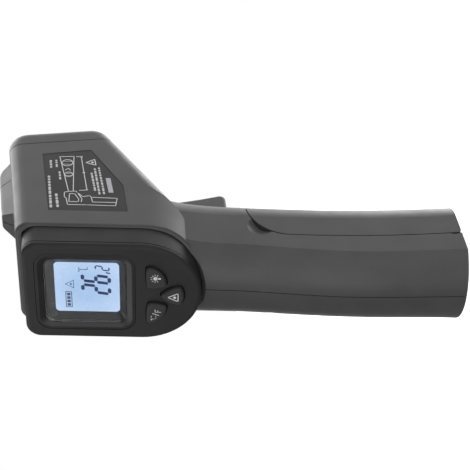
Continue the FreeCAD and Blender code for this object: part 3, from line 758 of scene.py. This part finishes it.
@dataclass
class LabelPrint:
    """The white drawing on the side label."""

    label: bpy.types.Object
    face_x: float
    key_foot_z: float
    ink_thickness: float = 0.00003
    line: float = 0.27
    seed: int = 12

    def surface(self) -> Surface:
        """Return the label's outer side, with heights counted from the keys' lower edge."""
        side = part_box(self.label.name)[0].y
        origin = Vector((self.face_x, side, self.key_foot_z))
        return Surface(origin, Vector((1.0, 0.0, 0.0)), Vector((0.0, 0.0, 1.0)))

    def caption_row(self, art: Artwork, start: Spot, end: Spot, height: float, dice: random.Random) -> None:
        """Draw a row of plain dashes in place of words.

        Args:
            art: The drawing.
            start: The row's left end, in millimetres.
            end: The row's right end, in millimetres.
            height: The dashes' height in millimetres.
            dice: The source of the dashes' lengths.
        """
        slope = (end[1] - start[1]) / (end[0] - start[0])
        along = start[0]
        while along < end[0]:
            length = min(dice.uniform(0.15, 1.5), end[0] - along)
            rise = start[1] + slope * (along - start[0])
            art.stroke((along, rise), (along + length, rise + slope * length), height, sides=FINE_SIDES)
            along += length + height + dice.uniform(0.12, 0.3)

    def instrument(self, art: Artwork) -> None:
        """Draw the outline of the instrument itself.

        Args:
            art: The drawing.
        """
        crown = [(20.3, 43.9), (23.8, 44.6), (24.5, 45.3), (27.0, 45.5)]
        muzzle = [(27.5, 44.1), (27.7, 41.9), (24.7, 39.2)]
        handle = [(25.4, 37.0), (24.5, 36.4), (24.2, 27.8), (20.1, 28.1), (20.3, 37.7)]
        art.chain(crown + muzzle + handle, self.line, closed=True)
        side = [(21.9, 43.6), (26.3, 43.7), (26.3, 42.0), (23.3, 40.4), (21.9, 40.5)]
        art.chain(side, self.line, closed=True)
        art.chain([(21.9, 39.5), (23.6, 39.4), (27.7, 41.6)], self.line)
        art.chain([(24.5, 36.4), (21.9, 35.8), (21.9, 28.2)], self.line)

    def cone(self, art: Artwork) -> None:
        """Draw what the instrument sees: a widening cone with two spots.

        Args:
            art: The drawing.
        """
        art.chain([(27.7, 44.2), (47.3, 48.8), (47.6, 44.0)], self.line)
        art.chain([(27.7, 42.6), (47.7, 44.0)], self.line)
        for centre, radius in (((37.1, 44.9), 1.45), ((43.8, 45.9), 1.95)):
            art.ring(centre, radius, self.line * 0.9)
            for side in (-0.45, 0.45):
                place, reach = centre[0] + side * radius, 0.8 * radius
                foot, top = (place, centre[1] - reach), (place, centre[1] + reach)
                art.stroke(foot, top, self.line * 0.7, sides=FINE_SIDES)
        art.chain([(39.5, 44.5), (40.6, 45.3), (39.6, 46.2)], self.line)

    def distance(self, art: Artwork) -> None:
        """Draw the line that measures the distance, with its end marks.

        Args:
            art: The drawing.
        """
        art.chain([(28.2, 40.5), (28.4, 38.1), (47.5, 41.5), (47.5, 43.1)], self.line)
        for spot in ((28.6, 38.2), (38.3, 39.9), (47.4, 41.4)):
            art.disc(spot, 0.42)

    def warning(self, art: Artwork) -> None:
        """Draw the triangle with a spot.

        Args:
            art: The drawing.
        """
        art.chain([(42.7, 36.1), (46.1, 36.8), (44.1, 39.6)], self.line * 1.3, closed=True)
        art.disc((44.3, 37.4), 0.45)

    def captions(self, art: Artwork) -> None:
        """Draw plain dashes where words would stand.

        Args:
            art: The drawing.
        """
        dice = random.Random(self.seed)
        rows = [
            ((18.9, 49.2), (36.9, 51.6), 1.0),
            ((19.2, 47.0), (25.9, 48.1), 1.0),
            ((28.4, 35.4), (38.8, 37.4), 0.8),
            ((26.5, 33.8), (41.3, 36.5), 0.8),
            ((26.7, 32.3), (41.1, 35.0), 0.8),
            ((41.1, 51.2), (44.9, 51.7), 0.9),
            ((34.4, 47.5), (38.3, 48.1), 0.8),
            ((41.5, 49.3), (45.0, 49.8), 0.8),
        ]
        for start, end, height in rows:
            self.caption_row(art, start, end, height, dice)

    def build(self) -> None:
        """Draw everything on the label."""
        art = Artwork("label_drawing")
        self.cone(art)
        self.distance(art)
        self.warning(art)
        self.instrument(art)
        ink = Ink("line_ink", (0.90, 0.90, 0.89)).build()
        art.lay(self.surface(), self.ink_thickness, ink)
        words = Artwork("label_captions")
        self.captions(words)
        ink = Ink("caption_ink", (0.66, 0.66, 0.65)).build()
        words.lay(self.surface(), self.ink_thickness, ink)
        panel = Artwork("label_field")
        panel.block((27.3, 29.2), (35.4, 30.8))
        panel.tilt(0.19, 27.3)
        ink = Ink("pale_ink", (0.55, 0.53, 0.58)).build()
        panel.lay(self.surface(), self.ink_thickness, ink)
        LOG.info("pieces label_drawing, label_captions, label_field")


@dataclass
class KeySigns:
    """The white signs on the three keys."""

    key_foot_z: float
    ink_thickness: float = 0.00003
    line: float = 0.42

    def surface(self, key: str) -> Surface:
        """Return the crown of one key, with heights counted from the keys' lower edge."""
        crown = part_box(key)[0].x
        origin = Vector((crown, 0.0, self.key_foot_z))
        return Surface(origin, Vector((0.0, -1.0, 0.0)), Vector((0.0, 0.0, 1.0)))

    def lamp(self, ink: bpy.types.Material) -> None:
        """Draw the shining lamp on the backlight key.

        Args:
            ink: The sign's material.
        """
        art = Artwork("lamp_sign")
        centre = Vector((7.9, 14.2))
        art.disc(tuple(centre), 0.72)
        art.block((7.58, 12.5), (8.22, 13.8))
        for step in range(8):
            angle = math.pi * (step / 7.0 * 1.3 - 0.15)
            ray = Vector((math.cos(angle), math.sin(angle)))
            art.stroke(tuple(centre + ray * 1.15), tuple(centre + ray * 1.6), 0.24, sides=FINE_SIDES)
        art.lay(self.surface("backlight_key"), self.ink_thickness, ink, Body.BACKLIGHT)

    def beam(self, ink: bpy.types.Material) -> None:
        """Draw the triangle with a spot on the laser key.

        Args:
            ink: The sign's material.
        """
        art = Artwork("beam_sign")
        art.chain([(-1.7, 6.9), (1.7, 6.9), (0.0, 10.2)], self.line * 0.8, closed=True)
        art.disc((0.0, 8.0), 0.5)
        art.lay(self.surface("laser_key"), self.ink_thickness, ink, Body.LASER)

    def units(self, ink: bpy.types.Material) -> None:
        """Draw the two unit signs on the unit key.

        Args:
            ink: The sign's material.
        """
        art = Artwork("unit_sign")
        art.ring((-9.8, 15.6), 0.26, 0.2)
        arc = [math.radians(50 + 26 * step) for step in range(11)]
        art.chain([(-8.75 + 0.75 * math.cos(a), 14.9 + 0.85 * math.sin(a)) for a in arc], 0.28)
        art.stroke((-7.9, 13.2), (-7.1, 15.2), 0.24)
        art.chain([(-6.5, 12.6), (-6.5, 14.4), (-5.5, 14.4)], 0.28)
        art.stroke((-6.5, 13.5), (-5.8, 13.5), 0.28)
        art.lay(self.surface("unit_key"), self.ink_thickness, ink, Body.UNIT)

    def build(self) -> None:
        """Draw all three signs."""
        ink = Ink("key_ink", (0.85, 0.85, 0.84), 0.55).build()
        self.lamp(ink)
        self.beam(ink)
        self.units(ink)
        LOG.info("pieces lamp_sign, beam_sign, unit_sign")


@dataclass
class Studio:
    """The camera, the pale floor and the soft lights."""

    camera_spot: Vector
    sight: Vector
    skyward: Vector
    lens: float = 108.03
    floor_size: float = 4.0
    middle: Vector = field(default_factory=lambda: Vector((0.0, 0.0, 0.09)))
    lamp_distance: float = 0.7
    lamp_size: float = 0.55
    ambient: float = 0.26

    def camera(self) -> None:
        """Add the camera."""
        data = bpy.data.cameras.new("studio_camera")
        data.sensor_width = 36.0
        data.sensor_height = 36.0
        data.lens = self.lens
        data.clip_start = 0.01
        camera = bpy.data.objects.new("studio_camera", data)
        bpy.context.scene.collection.objects.link(camera)
        back = -self.sight.normalized()
        right = self.skyward.cross(back).normalized()
        up = back.cross(right)
        turn = Matrix((right, up, back)).transposed()
        camera.matrix_world = Matrix.Translation(self.camera_spot) @ turn.to_4x4()
        bpy.context.scene.camera = camera

    def floor(self) -> None:
        """Add the pale floor under the grip."""
        bpy.ops.object.select_all(action="DESELECT")
        bpy.ops.mesh.primitive_plane_add(size=self.floor_size, location=(0.0, 0.0, 0.0))
        floor = bpy.context.active_object
        floor.name = "studio_floor"
        shader = Shader("studio_white")
        tone = shader.noise(0.5, detail=1.0)
        white = shader.blend(tone, (0.90, 0.90, 0.90), (0.92, 0.92, 0.92))
        shader.join(white, shader.surface.inputs["Base Color"])
        shader.set(Roughness=0.9, Emission_Strength=1.1)
        shader.surface.inputs["Emission Color"].default_value = (1.0, 1.0, 1.0, 1.0)
        floor.data.materials.append(shader.material)
        floor.visible_diffuse = False
        floor.visible_glossy = False
        floor.visible_shadow = False

    def lamp(self, name: str, spot: Vector, power: float) -> None:
        """Add one soft square light that faces the object.

        Args:
            name: The light's name.
            spot: Where it hangs, in metres.
            power: Its power in watts.
        """
        data = bpy.data.lights.new(name, "AREA")
        data.size = self.lamp_size
        data.energy = power
        lamp = bpy.data.objects.new(name, data)
        bpy.context.scene.collection.objects.link(lamp)
        lamp.visible_camera = False
        lamp.rotation_euler = (self.middle - spot).to_track_quat("-Z", "Y").to_euler()
        lamp.location = spot

    def world(self) -> None:
        """Surround the scene with white to look at and a dimmer light to see by."""
        world = bpy.data.worlds.new("studio_world")
        world.use_nodes = True
        tree = world.node_tree
        seen = tree.nodes["Background"]
        seen.inputs["Color"].default_value = (1.0, 1.0, 1.0, 1.0)
        seen.inputs["Strength"].default_value = 1.0
        dim = tree.nodes.new("ShaderNodeBackground")
        dim.inputs["Strength"].default_value = self.ambient
        path = tree.nodes.new("ShaderNodeLightPath")
        mix = tree.nodes.new("ShaderNodeMixShader")
        tree.links.new(path.outputs["Is Camera Ray"], mix.inputs[0])
        tree.links.new(dim.outputs[0], mix.inputs[1])
        tree.links.new(seen.outputs[0], mix.inputs[2])
        tree.links.new(mix.outputs[0], tree.nodes["World Output"].inputs["Surface"])
        bpy.context.scene.world = world

    def lamps(self) -> None:
        """Hang the soft lights: strong ones in front, and weaker ones beside and behind."""
        powers = {
            "front_high_light": ((1, 0, 1), 2.9),
            "front_low_light": ((1, -0.1, -0.6), 2.4),
            "front_light": ((1, 0, 0), 1.1),
            "left_rear_high_light": ((-1, 1, 1), 1.1),
            "right_front_light": ((1, -0.8, 0), 0.6),
            "right_front_high_light": ((1, -1, 1), 0.7),
            "right_rear_low_light": ((-1, -1, -1), 0.66),
            "left_front_light": ((1, 1, 0), 0.64),
            "left_front_high_light": ((1, 1, 1), 0.43),
            "right_light": ((0.25, -1, -0.1), 0.6),
            "right_rear_light": ((-1, -1, 0), 0.75),
            "rear_light": ((-1, 0, 0), 1.1),
        }
        for name, (direction, power) in powers.items():
            spot = self.middle + Vector(direction).normalized() * self.lamp_distance
            self.lamp(name, spot, power)

    def build(self) -> None:
        """Set up the studio."""
        self.camera()
        self.floor()
        self.world()
        self.lamps()
        bpy.context.scene.view_settings.view_transform = "Standard"
        LOG.info("studio ready")


def main() -> None:
    """Build the sub-assemblies in order."""
    logging.basicConfig(level=logging.INFO, format="%(name)s: %(message)s")
    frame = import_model()
    nodes = frame["nodes"]
    low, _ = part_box("rear_hood")
    key_foot = low.z + HOOD_LIP
    Finishes(nodes).dress()
    Display(nodes["display_panel"], key_foot).build()
    LabelPrint(nodes["side_label"], low.x, key_foot).build()
    KeySigns(key_foot).build()
    Studio(
        camera_spot=Vector((-0.38180, -0.30216, 0.088975)),
        sight=Vector((0.78358, 0.62074, -0.02612)),
        skyward=Vector((0.62124, -0.78334, 0.02098)),
    ).build()


if __name__ == "__main__":
    main()
